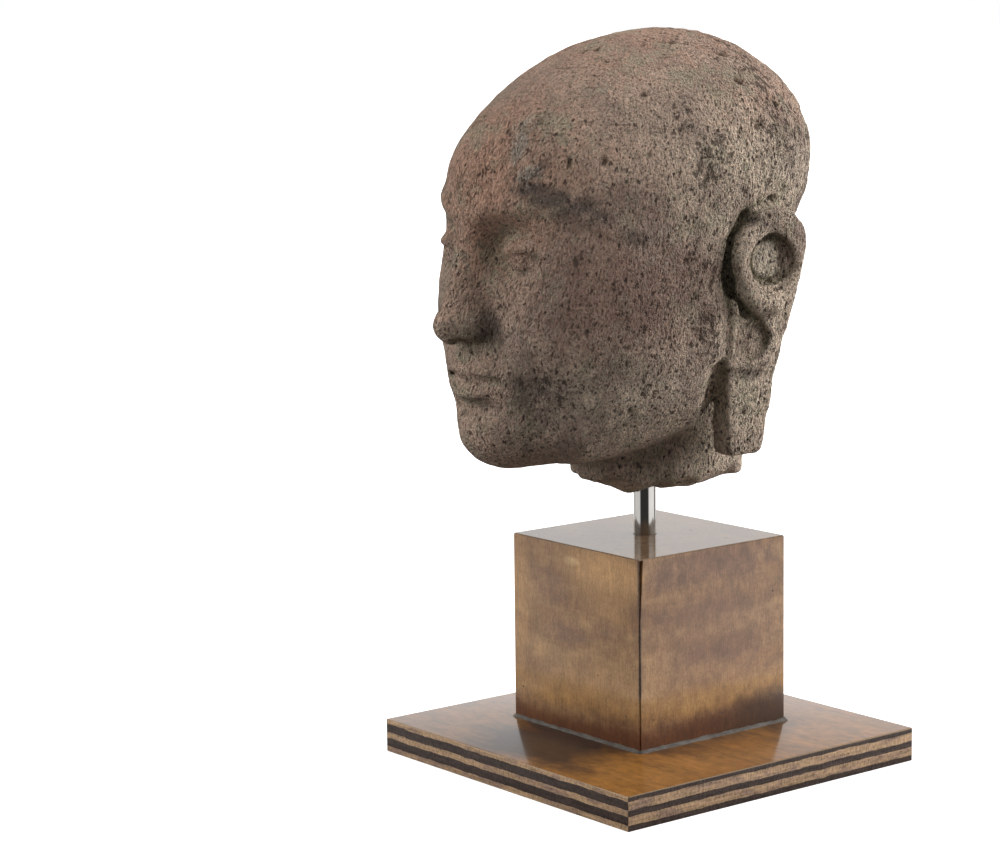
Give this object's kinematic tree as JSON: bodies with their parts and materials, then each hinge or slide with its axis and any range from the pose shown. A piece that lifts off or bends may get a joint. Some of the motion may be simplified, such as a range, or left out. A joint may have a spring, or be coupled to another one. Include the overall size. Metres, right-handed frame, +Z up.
{
  "type": "carved stone head on a stand",
  "caption": "Carved stone head of a shaven monk, broken off at the neck, held up by a short steel rod on a hollow wooden box and a square plywood plate.",
  "frame": {"origin": "centre of the base plate's underside", "axes": "+Z up; the plate's edges run along X and Y; the face looks towards -Y, turned 6 degrees to the head's right, so the head's left ear is on the +X side"},
  "size_m": [0.2, 0.2215, 0.3885],
  "materials": {
    "porous_stone": "weathered porous stone, matt",
    "polished_steel": "polished",
    "stained_box_wood": "dark stain under gloss varnish",
    "varnished_plywood": "gloss varnish over plywood"
  },
  "bodies": {
    "root": {"stone_head": "porous_stone", "mount_rod": "polished_steel", "box_front": "stained_box_wood", "box_right": "stained_box_wood", "box_back": "stained_box_wood", "box_left": "stained_box_wood", "box_top": "stained_box_wood", "base_plate": "varnished_plywood"}
  },
  "joints": []
}
